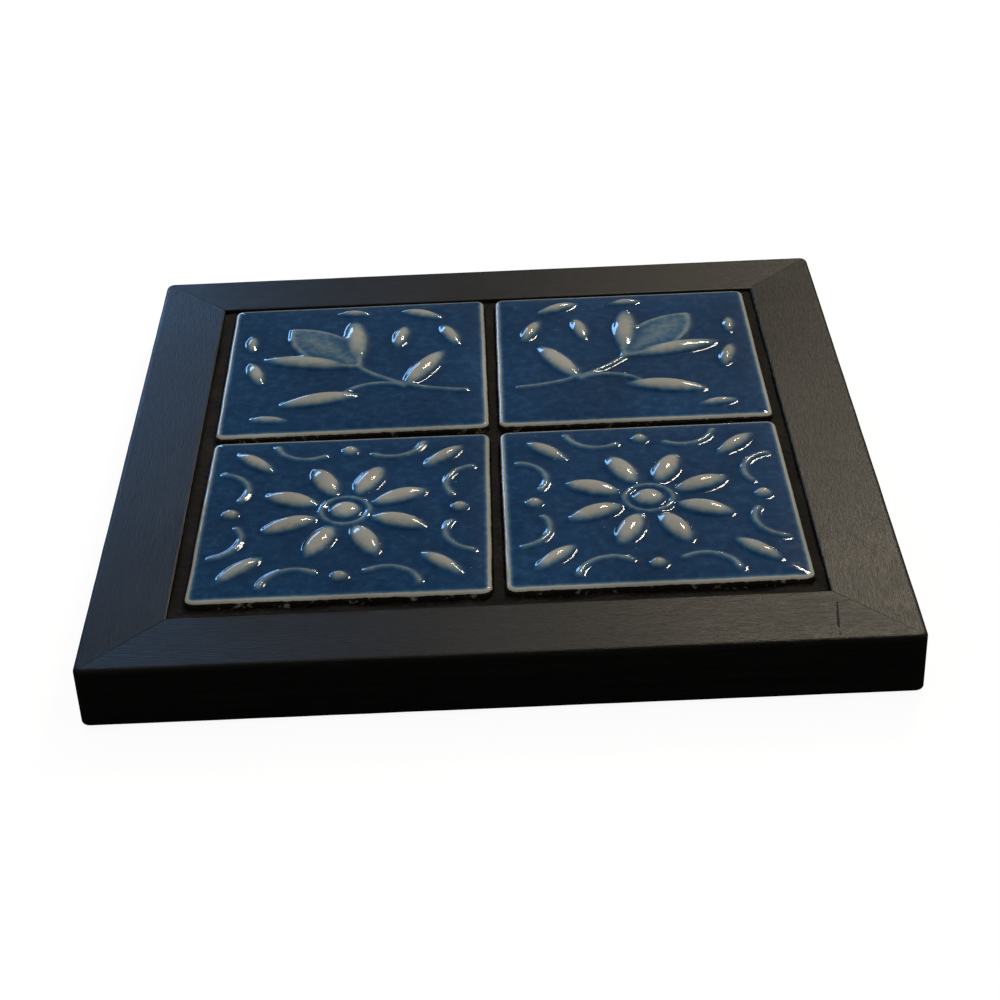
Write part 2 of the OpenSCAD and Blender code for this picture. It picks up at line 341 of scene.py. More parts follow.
def stained_wood(name, along_x):
    """Black-stained, satin-varnished wood with its grain along X or Y."""
    material, tree, shader = start_material(name)
    place = add(tree, "ShaderNodeTexCoord").outputs["Object"]
    pore_map = add(
        tree, "ShaderNodeMapping", None, {"Scale": stretched(PORE_WIDTH, PORE_LENGTH, along_x)},
        Vector=place,
    )
    pores = add(
        tree, "ShaderNodeTexNoise", None,
        {"Scale": 1.0, "Detail": 3.0, "Roughness": 0.6, "Distortion": 0.15},
        Vector=pore_map.outputs[0],
    )
    band_map = add(
        tree, "ShaderNodeMapping", None, {"Scale": stretched(BAND_WIDTH, BAND_LENGTH, along_x)},
        Vector=place,
    )
    bands = add(
        tree, "ShaderNodeTexNoise", None,
        {"Scale": 1.0, "Detail": 2.0, "Roughness": 0.5, "Distortion": 0.4},
        Vector=band_map.outputs[0],
    )
    grain = add(
        tree, "ShaderNodeMix", {"data_type": "FLOAT"}, {0: 0.35}, _2=pores.outputs["Fac"],
        _3=bands.outputs["Fac"],
    )
    stain = add(tree, "ShaderNodeValToRGB", None, None, Fac=grain.outputs[0])
    ramp_stops(stain, [(0.36, "#070707"), (0.5, "#0f0e0d"), (0.64, "#1b1917")])

    # worn edges: the surface turns away from the flat faces there, which Pointiness shows
    geometry = add(tree, "ShaderNodeNewGeometry")
    edge = add(
        tree, "ShaderNodeMapRange", {"clamp": True}, {"From Min": 0.53, "From Max": 0.6},
        Value=geometry.outputs["Pointiness"],
    )
    scuffs = add(
        tree, "ShaderNodeTexNoise", None,
        {"Scale": 1 / (2.4 * MM), "Detail": 4.0, "Roughness": 0.7}, Vector=place,
    )
    scuffed = add(
        tree, "ShaderNodeMapRange", {"clamp": True}, {"From Min": 0.56, "From Max": 0.68},
        Value=scuffs.outputs["Fac"],
    )
    wear = add(
        tree, "ShaderNodeMath", {"operation": "MULTIPLY"}, None, _0=edge.outputs["Result"],
        _1=scuffed.outputs["Result"],
    )
    worn = add(
        tree, "ShaderNodeMix", {"data_type": "RGBA"}, {7: linear("#5a4a3b")}, _0=wear.outputs[0],
        _6=stain.outputs["Color"],
    )
    # a few specks of pale dust, caught in the varnish
    dust = add(tree, "ShaderNodeTexVoronoi", None, {"Scale": 1 / (DUST_APART * MM)}, Vector=place)
    speck = add(
        tree, "ShaderNodeMath", {"operation": "LESS_THAN"}, {1: DUST_SIZE / DUST_APART},
        _0=dust.outputs["Distance"],
    )
    dusty = add(
        tree, "ShaderNodeMix", {"data_type": "RGBA"}, {7: linear("#7d7a72")}, _0=speck.outputs[0],
        _6=worn.outputs[2],
    )
    tree.links.new(dusty.outputs[2], shader.inputs["Base Color"])

    # satin varnish, a little drier over the pores and in cloudy patches
    clouds = add(
        tree, "ShaderNodeTexNoise", None, {"Scale": 1 / (28 * MM), "Detail": 3.0}, Vector=place,
    )
    satin = add(
        tree, "ShaderNodeMapRange", None,
        {"From Min": 0.3, "From Max": 0.7, "To Min": 0.33, "To Max": 0.43},
        Value=clouds.outputs["Fac"],
    )
    dry = add(
        tree, "ShaderNodeMapRange", None,
        {"From Min": 0.35, "From Max": 0.65, "To Min": 0.08, "To Max": -0.04},
        Value=pores.outputs["Fac"],
    )
    rough = add(
        tree, "ShaderNodeMath", {"operation": "ADD"}, None, _0=satin.outputs["Result"],
        _1=dry.outputs["Result"],
    )
    tree.links.new(rough.outputs[0], shader.inputs["Roughness"])
    shader.inputs["IOR"].default_value = 1.5
    relief = add(
        tree, "ShaderNodeBump", None, {"Strength": 0.7, "Distance": 0.16 * MM},
        Height=pores.outputs["Fac"],
    )
    tree.links.new(relief.outputs[0], shader.inputs["Normal"])
    return material


wood_along_x = stained_wood("black_stained_wood_along_x", True)
wood_along_y = stained_wood("black_stained_wood_along_y", False)

# %% [markdown]
# ## The four mitred rails
#
# A framer planes one long moulding and cuts it at 45 degrees. We do the same: an L-shaped
# section, whose notch holds the board, is extruded, its outer edges are eased with a bevel, and
# it is cut into slices. Then each point slides along the rail by its own distance from the
# trivet's middle, which shears the square ends into mitres. The frame's corners are rounded the
# way a sander does it: points past the corner's centre move onto a circle.

# %% Cut and shape one rail
REBATE_WIDTH = 8.0
REBATE_TOP = board_high.z
RAIL_ARRIS = 1.3
FOOT_ARRIS = 0.4
FRAME_CORNER = 2.5
INNER_ARRIS = 0.35
SLICE = 4.0
CORNER_SLICES = 6
HAND_SANDING = 0.06
SANDING_WAVE, SANDING_RISE = 9.0, 5.0
MITRE_EASE = 0.14
HOLD = 0.3
half_rebate = half_opening + REBATE_WIDTH


def rounded_in_plan(x, y, half, radius):
    """Moves a point of a square plan onto the plan with rounded corners."""
    centre = half - radius
    past_x, past_y = abs(x) - centre, abs(y) - centre
    if past_x <= 0 or past_y <= 0:
        return x, y
    reach = math.hypot(past_x, past_y)
    share = max(past_x, past_y) / reach
    return math.copysign(centre + past_x * share, x), math.copysign(centre + past_y * share, y)


def rail_edges(bm, places):
    """The edges that run along the rail at any of these (outward distance, height) places."""
    found = []
    for edge in bm.edges:
        a, b = edge.verts
        if abs(a.co.x - b.co.x) < 1:
            continue
        if any(abs(a.co.y - y) < 0.01 and abs(a.co.z - z) < 0.01 for y, z in places):
            found.append(edge)
    return found


def shape_rail():
    """One rail along X, outer face at y = half_frame, as a bmesh in millimetres."""
    bm = bmesh.new()
    section = [
        (half_opening, rail_top),
        (half_frame, rail_top),
        (half_frame, rail_bottom),
        (half_rebate, rail_bottom),
        (half_rebate, REBATE_TOP),
        (half_opening, REBATE_TOP),
    ]
    face = bm.faces.new([bm.verts.new((-1.0, y, z)) for y, z in section])
    grown = bmesh.ops.extrude_face_region(bm, geom=[face])
    ends = [v for v in grown["geom"] if isinstance(v, bmesh.types.BMVert)]
    bmesh.ops.translate(bm, vec=(2.0, 0, 0), verts=ends)
    eased = [
        (half_frame, rail_top, RAIL_ARRIS, 5),
        (half_frame, rail_bottom, FOOT_ARRIS, 2),
        (half_opening, rail_top, INNER_ARRIS, 2),
    ]
    for y, z, radius, steps in eased:
        edges = rail_edges(bm, [(y, z)])
        bmesh.ops.bevel(
            bm, geom=edges, offset=radius, segments=steps, profile=0.5, affect="EDGES",
            material=-1,
        )

    # cuts beside the rounded edges hold the faces flat, so the light doesn't bend across them
    for side in (half_opening + INNER_ARRIS + HOLD, half_frame - RAIL_ARRIS - HOLD):
        everything = bm.verts[:] + bm.edges[:] + bm.faces[:]
        bmesh.ops.bisect_plane(
            bm, geom=everything, plane_co=(0, side, 0), plane_no=(0, 1, 0), dist=0.00001,
        )
    for level in (rail_bottom + FOOT_ARRIS + HOLD, rail_top - RAIL_ARRIS - HOLD):
        everything = bm.verts[:] + bm.edges[:] + bm.faces[:]
        bmesh.ops.bisect_plane(
            bm, geom=everything, plane_co=(0, 0, level), plane_no=(0, 0, 1), dist=0.00001,
        )

    # slices: evenly along the rail, and closer together where the corner turns
    cuts = [i * SLICE / half_frame for i in range(1, int((half_frame - FRAME_CORNER) / SLICE) + 1)]
    start = 1 - FRAME_CORNER / half_frame
    cuts += [start + (1 - start) * i / CORNER_SLICES for i in range(CORNER_SLICES)]
    cuts += [1 - MITRE_EASE / half_frame, 1 - 2 * MITRE_EASE / half_frame]
    for cut in [0.0] + cuts + [-c for c in cuts]:
        everything = bm.verts[:] + bm.edges[:] + bm.faces[:]
        bmesh.ops.bisect_plane(
            bm, geom=everything, plane_co=(cut, 0, 0), plane_no=(1, 0, 0), dist=0.00001,
        )

    for vert in bm.verts:
        if abs(vert.co.x) > 0.9999 and vert.co.z > rail_top - RAIL_ARRIS:
            vert.co.z -= MITRE_EASE
        x, y = vert.co.x * vert.co.y, vert.co.y
        vert.co.x, vert.co.y = rounded_in_plan(x, y, half_frame, FRAME_CORNER)
    bmesh.ops.recalc_face_normals(bm, faces=bm.faces)
    return bm


def sand_by_hand(bm, seed):
    """Moves the points of the outer edges by a few hundredths of a millimetre."""
    for vert in bm.verts:
        if vert.co.y > half_frame - 3 * RAIL_ARRIS:
            spot = Vector((vert.co.x / SANDING_WAVE, vert.co.z / SANDING_RISE, seed))
            vert.co.y -= HAND_SANDING * (1 + noise.noise(spot))
            if vert.co.z > rail_top - RAIL_ARRIS:
                vert.co.z -= HAND_SANDING * 0.5 * (1 + noise.noise(spot + Vector((0, 0, 7))))


# %% [markdown]
# The front rail has one small wound: a straight knife mark across its top, near the right end.
# It has to be a real groove, so five cuts run along it and a few across. The points on the middle
# cut are pressed in to an uneven depth, and the outer cuts keep the wood beside it flat.

# %% Cut the knife mark
MARK_FROM = Vector((80.6, -84.4, 0))
MARK_TO = Vector((79.2, -96.2, 0))
MARK_HALF_WIDTH = 0.22
MARK_DEPTH = 0.2
MARK_PARTS = 8


def cut_knife_mark(bm):
    """A shallow groove across the top of the front rail."""
    bm.normal_update()
    whole = MARK_TO - MARK_FROM
    along = whole.normalized()
    across = Vector((along.y, -along.x, 0))
    cuts = [(MARK_FROM + across * step * MARK_HALF_WIDTH, across) for step in (-2, -1, 0, 1, 2)]
    cuts += [(MARK_FROM + whole * part / MARK_PARTS, along) for part in range(MARK_PARTS + 1)]
    for place, normal in cuts:
        near = [f for f in bm.faces if f.normal.z > 0.9 and abs(f.calc_center_median().x - MARK_TO.x) < 7]
        parts = set(near)
        for f in near:
            parts.update(f.edges)
            parts.update(f.verts)
        bmesh.ops.bisect_plane(bm, geom=list(parts), plane_co=place, plane_no=normal, dist=0.00001)
    for vert in bm.verts:
        off = vert.co - MARK_FROM
        part = off.xy.dot(along.xy) / whole.length
        if abs(off.xy.dot(across.xy)) < 0.01 and 0.01 < part < 0.99 and vert.co.z > rail_top - 0.6:
            vert.co.z -= MARK_DEPTH * (0.75 + noise.noise(Vector((part * 5, 0, 0))))


# %% Place the four rails
RAIL_TURNS = {"back_rail": 0, "left_rail": 1, "front_rail": 2, "right_rail": 3}
for rail_name, quarter_turns in RAIL_TURNS.items():
    bm = shape_rail()
    sand_by_hand(bm, quarter_turns * 3.1)
    turn = Matrix.Rotation(quarter_turns * math.pi / 2, 3, "Z")
    bmesh.ops.rotate(bm, cent=(0, 0, 0), matrix=turn, verts=bm.verts)
    if rail_name == "front_rail":
        cut_knife_mark(bm)
    wood = wood_along_x if quarter_turns % 2 == 0 else wood_along_y
    rail = ready(f"{rail_name}_wood", mesh_from(bm, f"{rail_name}_wood"), wood, math.radians(40))
    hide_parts(rail_name)

# %% [markdown]
# ## Finish: blue glaze over a relief
#
# The tiles are pale stoneware, pressed in a mould and dipped in a transparent blue glaze. While
# it melts, the glaze runs off every crest and edge and gathers in the hollows. So it is deep
# blue on the ground, darkest at the foot of each raised form, and so thin on the crests that the
# grey-beige body shows through. The mesh carries an attribute that says how thin the glaze is at
# each point, and a colour ramp turns it into that range. The same attribute's top value marks
# the lower sides of the tiles, and the ramp paints them dark brown: painted shade, for the joints
# they stand in. Under the gloss the surface has the slow ripple of a poured glass.

# %% Make the blue glaze
GLAZE_RIPPLE = 7.0
GLAZE_CLOUD = 24.0
GLAZE_SPECK = 0.7


def blue_glaze():
    """Glossy blue glaze that breaks to grey-beige where it thins, with painted shade on tile sides."""
    material, tree, shader = start_material("blue_breaking_glaze")
    place = add(tree, "ShaderNodeTexCoord").outputs["Object"]
    thin_glaze_and_shade = add(tree, "ShaderNodeAttribute", {"attribute_name": "thin_glaze_and_shade"})
    streaks = add(
        tree, "ShaderNodeTexNoise", None,
        {"Scale": 1 / (2.2 * MM), "Detail": 4.0, "Roughness": 0.6}, Vector=place,
    )
    uneven = add(
        tree, "ShaderNodeMapRange", None,
        {"From Min": 0.3, "From Max": 0.7, "To Min": -0.07, "To Max": 0.07},
        Value=streaks.outputs["Fac"],
    )
    level = add(
        tree, "ShaderNodeMath", {"operation": "ADD"}, None, _0=thin_glaze_and_shade.outputs["Fac"],
        _1=uneven.outputs["Result"],
    )
    glaze = add(tree, "ShaderNodeValToRGB", None, None, Fac=level.outputs[0])
    ramp_stops(
        glaze,
        [
            (0.0, "#081d38"),
            (0.2, "#133d66"),
            (0.42, "#3a6182"),
            (0.6, "#7b8e96"),
            (0.8, "#adaea9"),
            (0.9, "#aaa496"),
            # painted shade: the dark brown that the tiles' lower sides take, standing in for the shade of
            # the joints
            (0.97, "#1d1814"),
        ],
    )

    # slow clouds, where more or less glaze ran
    clouds = add(
        tree, "ShaderNodeTexNoise", None, {"Scale": 1 / (GLAZE_CLOUD * MM), "Detail": 2.0},
        Vector=place,
    )
    cloud = add(
        tree, "ShaderNodeMapRange", None,
        {"From Min": 0.3, "From Max": 0.7, "To Min": 0.82, "To Max": 1.14},
        Value=clouds.outputs["Fac"],
    )
    shaded = add(
        tree, "ShaderNodeMix", {"data_type": "RGBA", "blend_type": "MULTIPLY"}, {0: 1.0},
        _6=glaze.outputs["Color"], _7=cloud.outputs["Result"],
    )

    # specks of iron in the body, and pinholes
    specks = add(
        tree, "ShaderNodeTexVoronoi", None, {"Scale": 1 / (GLAZE_SPECK * 9 * MM)}, Vector=place,
    )
    speck = add(
        tree, "ShaderNodeMapRange", {"clamp": True},
        {"From Min": 0.03, "From Max": 0.05, "To Min": 1.0, "To Max": 0.0},
        Value=specks.outputs["Distance"],
    )
    dusted = add(
        tree, "ShaderNodeMix", {"data_type": "RGBA"}, {7: linear("#5f7488")},
        _0=speck.outputs["Result"], _6=shaded.outputs[2],
    )
    tree.links.new(dusted.outputs[2], shader.inputs["Base Color"])

    shader.inputs["Roughness"].default_value = 0.07
    shader.inputs["IOR"].default_value = 1.52
    ripple = add(
        tree, "ShaderNodeTexNoise", None, {"Scale": 1 / (GLAZE_RIPPLE * MM), "Detail": 1.0},
        Vector=place,
    )
    fine = add(
        tree, "ShaderNodeBump", None, {"Strength": 0.5, "Distance": 0.5 * MM},
        Height=ripple.outputs["Fac"],
    )
    tree.links.new(fine.outputs[0], shader.inputs["Normal"])
    return material


glaze_material = blue_glaze()

# %% [markdown]
# ## The pattern, as a height map
#
# Each form of the relief is a simple solid that lies half sunk in the tile: a plump leaf is a
# spindle, a stem is a bent tube, a bead is a dome. Seen from above, each gives a height at every
# point of the tile, and the relief is the highest of them all. That is quick to work out for a
# whole grid of points at once, and it is how a carver thinks too: plan first, then rise. Two
# patterns share the parts: a daisy with corner leaves, and a tulip on a bowed stem.

# %% Solids of the relief
SUNK = -9.0
LEAF = (19.0, 6.4, 2.1)
STEM = (1.7, 0.8)
BEAD = (4.4, 1.5)
PETAL = (16.0, 7.0, 2.1)
HEART = (9.0, 1.9)
TULIP_MIDDLE = (31.0, 14.0, 0.6)
TULIP_OUTLINE = (1.2, 0.4)
TULIP_OUTLINE_FOOT = 0.4
TULIP_SWELL_SHARE = 0.5
TULIP_SIDE = (27.0, 7.5, 1.8)
TULIP_SIDE_START = 2.0
TULIP_STEM_RADIUS = 44.0
TENDRIL_RADIUS = 8.5
STALK_RADIUS = 12.5


def arc_radius(chord, rise):
    """Radius of the circle that has this chord and this rise over it."""
    return (chord * chord / 4 + rise * rise) / (2 * rise)


def turned(x, y, place, degrees):
    """The grid's points as seen from a place, with X turned to that direction."""
    angle = math.radians(degrees)
    dx, dy = x - place[0], y - place[1]
    return dx * math.cos(angle) + dy * math.sin(angle), dy * math.cos(angle) - dx * math.sin(angle)


def around(degrees, distance):
    """The point at that distance from the middle, in that direction."""
    angle = math.radians(degrees)
    return distance * math.cos(angle), distance * math.sin(angle)


def plump(x, y, place, degrees, size):
    """Heights of a plump leaf or petal: (length, width, rise)."""
    length, width, rise = size
    u, v = turned(x, y, place, degrees)
    long_r, thick_r = arc_radius(length, rise), arc_radius(width, rise)
    round_r = np.sqrt(np.maximum(long_r**2 - u**2, 0)) - (long_r - thick_r)
    body = round_r**2 - v**2
    return np.where((body > 0) & (round_r > 0), np.sqrt(np.maximum(body, 0)) + rise - thick_r, SUNK)


def round_line(distance, width, rise):
    """Heights of a raised line, from each point's distance to it."""
    tube_r = arc_radius(width, rise)
    return np.where(
        distance < tube_r, np.sqrt(np.maximum(tube_r**2 - distance**2, 0)) + rise - tube_r, SUNK,
    )


def bead(x, y, place, size):
    """Heights of a round bead: (diameter, rise)."""
    return round_line(np.hypot(x - place[0], y - place[1]), *size)


def stem(x, y, place, radius, start, end, size=STEM):
    """Heights of a stem along an arc about a place, between two directions in degrees."""
    u, v = x - place[0], y - place[1]
    off = (np.degrees(np.arctan2(v, u)) - (start + end) / 2 + 180) % 360 - 180
    beside = np.abs(np.hypot(u, v) - radius)
    past = [np.hypot(u - around(d, radius)[0], v - around(d, radius)[1]) for d in (start, end)]
    distance = np.where(np.abs(off) <= (end - start) / 2, beside, np.minimum(*past))
    return round_line(distance, *size)


def outlined_petal(x, y, place, degrees, size):
    """Heights of a flat pointed petal with a raised outline."""
    length, width, rise = size
    u, v = turned(x, y, place, degrees)
    side_r = arc_radius(length, width / 2)
    half_angle = math.degrees(math.asin(length / 2 / side_r))
    reach = side_r - np.maximum(
        np.hypot(u, v - (side_r - width / 2)), np.hypot(u, v + (side_r - width / 2)),
    )
    swell = rise * (1 + TULIP_SWELL_SHARE * np.clip(reach / (width / 2), 0, 1))
    heights = np.where(reach > 0, swell, SUNK)
    line = (TULIP_OUTLINE[0] + TULIP_OUTLINE_FOOT, rise + TULIP_OUTLINE[1])
    for side in (1, -1):
        edge = stem(
            u, side * v, (0, width / 2 - side_r), side_r, 90 - half_angle, 90 + half_angle, line,
        )
        heights = np.maximum(heights, edge)
    return heights


# %% The daisy
DAISY_PETALS = 8
DAISY_RING = HEART[0] / 2 + STEM[0]
DAISY_REACH = DAISY_RING + STEM[0] / 2 + PETAL[0] / 2
SIDE_BEAD_SHARE = 0.39
CORNER_LEAF_SHARE = 0.47
CORNER_SIZE_SHARE = 0.8
TENDRIL_OUT_SHARE = 0.455
TENDRIL_SIDE_SHARE = 0.15
TENDRIL_FROM, TENDRIL_TO = 100, 215


def daisy(x, y):
    """Heights of the daisy and its corner leaves."""
    forms = [bead(x, y, (0, 0), HEART)]
    forms.append(stem(x, y, (0, 0), DAISY_RING, -180, 180))
    for i in range(DAISY_PETALS):
        way = (i + 0.5) * 360 / DAISY_PETALS
        forms.append(plump(x, y, around(way, DAISY_REACH), way, PETAL))
    leaf = [CORNER_SIZE_SHARE * size for size in LEAF]
    for quarter in range(4):
        u, v = turned(x, y, (0, 0), 90 * quarter)
        forms.append(bead(u, v, (SIDE_BEAD_SHARE * TILE_SIDE, 0), BEAD))
        forms.append(plump(u, v, around(45, CORNER_LEAF_SHARE * TILE_SIDE), 45, leaf))
        for side in (1, -1):
            centre = (TENDRIL_OUT_SHARE * TILE_SIDE, TENDRIL_SIDE_SHARE * TILE_SIDE)
            forms.append(stem(u, side * v, centre, TENDRIL_RADIUS, TENDRIL_FROM, TENDRIL_TO))
    return np.maximum.reduce(forms)


# %% The tulip
TULIP_PLACE_SHARE = (-0.01, -0.03)
TULIP_AXIS = 50
TULIP_STEM_TURN = 46
SIDE_PETAL_TURN = 36
STALK_PLACE_SHARE = (-0.09, -0.327)
STALK_FROM, STALK_TO = 30, 125
# each leaf: place as shares of the tile, direction, and length, width and rise as shares of LEAF
TULIP_LEAF_SHARES = [
    (-0.26, -0.06, 118, 1.25, 1.1, 1.0),
    (0.13, -0.27, -12, 1.25, 1.1, 1.0),
    (-0.36, 0.20, 70, 0.75, 0.75, 0.75),
    (-0.17, 0.20, 100, 0.75, 0.75, 0.75),
    (-0.25, 0.38, 25, 0.75, 0.75, 0.75),
    (0.02, 0.41, 5, 0.55, 0.55, 0.6),
    (0.41, 0.19, 88, 0.55, 0.55, 0.6),
    (0.38, -0.05, 75, 0.75, 0.75, 0.75),
    (0.31, -0.40, 8, 0.6, 0.6, 0.6),
]


def tulip(x, y):
    """Heights of the tulip, its stem and its leaves."""
    foot = [share * TILE_SIDE for share in TULIP_PLACE_SHARE]
    u, v = x - foot[0], y - foot[1]
    middle = outlined_petal(u, v, around(TULIP_AXIS, TULIP_MIDDLE[0] / 2), TULIP_AXIS, TULIP_MIDDLE)
    forms = [middle]
    for side in (-1, 1):
        way = TULIP_AXIS + side * SIDE_PETAL_TURN
        forms.append(
            plump(u, v, around(way, TULIP_SIDE_START + TULIP_SIDE[0] / 2), way, TULIP_SIDE),
        )
    centre = around(TULIP_AXIS + 90, TULIP_STEM_RADIUS)
    forms.append(
        stem(u, v, centre, TULIP_STEM_RADIUS, TULIP_AXIS - 90 - TULIP_STEM_TURN, TULIP_AXIS - 90),
    )
    stalk = [share * TILE_SIDE for share in STALK_PLACE_SHARE]
    forms.append(stem(x, y, stalk, STALK_RADIUS, STALK_FROM, STALK_TO))
    for across, along, way, *shares in TULIP_LEAF_SHARES:
        size = [share * full for share, full in zip(shares, LEAF)]
        forms.append(plump(x, y, (across * TILE_SIDE, along * TILE_SIDE), way, size))
    return np.maximum.reduce(forms)


def mirrored_tulip(x, y):
    """The tulip's mirror image."""
    return tulip(-x, y)


# %% [markdown]
# ## The four tiles
#
# A tile starts as a fine square grid. Its points rise to the height map, after a light blur that
# rounds every foot and crest as melted glaze does. A wider blur gives the level to which the glaze
# would settle, and the difference between the two says where it is thin. The grid's border is
# then extruded outwards and down in small steps, which rolls the face over into the sides.

# %% Shape a tile
GRID = 190
PILLOW_DEPTH = 0.45
PILLOW_WIDTH = 6.0
EDGE_STEPS = 6
SIDE_STEPS = 4
SOFTEN_PASSES = 3
POOL_PASSES = 34
EDGE_WAVE = 0.14
EDGE_WAVE_LENGTH = 14.0
RIM_DEPTH = 0.6
RIM_START, RIM_FADE = 0.5, 1.6
POOL_SHARE = 0.55
CREST_FULL = 0.95
FOOT_GAIN = 1.6
THIN_GROUND, THIN_CREST, THIN_FOOT = 0.2, 0.62, 0.16
THIN_RIM_LOW, THIN_RIM = 0.18, 0.6
# thin glaze on the upper side; the second value puts the lower sides at the ramp's dark-brown stop, which
# is painted shade
THIN_SIDE, PAINTED_SHADE_SIDE = 0.82, 1.0


def blurred(heights, passes, outside):
    """The map after passes of a small blur, with a fixed value outside its border."""
    out = heights
    for _ in range(passes):
        wide = np.pad(out, 1, constant_values=outside) if outside is not None else np.pad(
            out, 1, mode="edge",
        )
        rows = (wide[:-2, 1:-1] + 2 * wide[1:-1, 1:-1] + wide[2:, 1:-1]) / 4
        wide = np.pad(rows, ((0, 0), (1, 1)), mode="edge")
        out = (wide[:, :-2] + 2 * rows + wide[:, 2:]) / 4
    return out


def relief_map(pattern, x, y, half):
    """Heights over the ground, and the glaze's thinness, for a grid of points."""
    to_edge = half + TILE_ARRIS - np.maximum(np.abs(x), np.abs(y))
    pillow = -PILLOW_DEPTH * np.clip(1 - (to_edge - TILE_ARRIS) / PILLOW_WIDTH, 0, 1) ** 2
    raw = np.maximum(pattern(x, y), 0)
    soft = blurred(raw, SOFTEN_PASSES, None)
    pool = blurred(soft, POOL_PASSES, None)
    crest = np.clip((soft - POOL_SHARE * pool) / CREST_FULL, -1, 1)
    foot = np.clip((pool - soft) * FOOT_GAIN, 0, 1)
    rim = np.clip(1.1 - (to_edge - RIM_START) / RIM_FADE, 0, 1)
    thin_glaze_and_shade = THIN_GROUND + THIN_CREST * np.clip(crest, 0, 1) ** 0.8 - THIN_FOOT * foot
    return soft + pillow, np.maximum(thin_glaze_and_shade, THIN_RIM_LOW + THIN_RIM * rim)


def shape_tile(pattern):
    """A tile centred on the origin, its ground at z = 0, with glaze thinness and painted side shade."""
    half = TILE_SIDE / 2 - TILE_ARRIS
    bm = bmesh.new()
    bmesh.ops.create_grid(bm, x_segments=GRID, y_segments=GRID, size=half)
    thin_glaze_and_shade = bm.verts.layers.float.new("thin_glaze_and_shade")
    bm.verts.ensure_lookup_table()
    places = np.array([v.co[:2] for v in bm.verts])
    count = GRID + 1
    order = np.lexsort((places[:, 0].round(3), places[:, 1].round(3)))
    x = places[order, 0].reshape(count, count)
    y = places[order, 1].reshape(count, count)
    heights, thinness = relief_map(pattern, x, y, half)
    for index, z, t in zip(order, heights.ravel(), thinness.ravel()):
        vert = bm.verts[index]
        vert.co.z = z
        vert[thin_glaze_and_shade] = t

    border = [e for e in bm.edges if e.is_boundary]
    steps = [(TILE_ARRIS * math.sin(a), TILE_ARRIS * (math.cos(a) - 1)) for a in
             [math.pi / 2 * (i + 1) / EDGE_STEPS for i in range(EDGE_STEPS)]]
    steps += [(TILE_ARRIS, -TILE_ARRIS - (TILE_THICKNESS - TILE_ARRIS) * (i + 1) / SIDE_STEPS)
              for i in range(SIDE_STEPS)]
    out_before, down_before = 0.0, 0.0
    for out, down in steps:
        grown = bmesh.ops.extrude_edge_only(bm, edges=border)["geom"]
        verts = [g for g in grown if isinstance(g, bmesh.types.BMVert)]
        border = [g for g in grown if isinstance(g, bmesh.types.BMEdge)]
        grow = (half + out) / (half + out_before)
        for vert in verts:
            vert.co.x *= grow
            vert.co.y *= grow
            vert.co.z = vert.co.z + down - down_before if down >= -TILE_ARRIS else down
            # below the rim the sides take the ramp's dark-brown stop: painted shade
            vert[thin_glaze_and_shade] = THIN_SIDE if down > -RIM_DEPTH else PAINTED_SHADE_SIDE
        out_before, down_before = out, down
    bmesh.ops.holes_fill(bm, edges=border)
    for vert in bm.verts:
        vert.co.x, vert.co.y = rounded_in_plan(vert.co.x, vert.co.y, TILE_SIDE / 2, TILE_CORNER)
    bmesh.ops.recalc_face_normals(bm, faces=bm.faces)
    return bm


# %% Lay the four tiles
LAID_TILES = [
    ("tile_front_left", -1, -1, -1.0, daisy),
    ("tile_front_right", 1, -1, 0.5, daisy),
    ("tile_back_left", -1, 1, 0.7, mirrored_tulip),
    ("tile_back_right", 1, 1, -0.4, tulip),
]
pitch = TILE_SIDE + TILE_JOINT
for tile_name, column, row, turn_share, pattern in LAID_TILES:
    bm = shape_tile(pattern)
    for vert in bm.verts:
        rim = max(abs(vert.co.x), abs(vert.co.y)) / (TILE_SIDE / 2)
        seed = 5.0 * column + 2.0 * row
        spot = Vector((vert.co.x / EDGE_WAVE_LENGTH, vert.co.y / EDGE_WAVE_LENGTH, seed))
        vert.co.xy *= 1 - EDGE_WAVE / (TILE_SIDE / 2) * rim**8 * (1 + noise.noise(spot))
    bmesh.ops.rotate(
        bm, cent=(0, 0, 0), matrix=Matrix.Rotation(LAID_TURN * turn_share, 3, "Z"), verts=bm.verts,
    )
    place = (LAID_RIGHT + column * pitch / 2, LAID_BACK + row * pitch / 2, GROUND)
    bmesh.ops.translate(bm, vec=place, verts=bm.verts)
    tile = ready(
        f"{tile_name}_glazed", mesh_from(bm, f"{tile_name}_glazed"), glaze_material,
        math.radians(60),
    )
    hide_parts(tile_name)

# %% [markdown]
# ## The filler between the tiles
#
# A dark, sanded filler was pressed into the joints with a finger, and it dried rough and crumbly.
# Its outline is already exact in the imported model, so a copy of that mesh is cut into cells under
# a millimetre wide, and the points of its top are moved by noise. Its finish is matt, with grit
# of about half a millimetre.

# %% Make the filler
CELL = 0.9
CRUMB = 1.3
CRUMB_HEIGHT = 0.55
FILLER_WAVE = 11.0


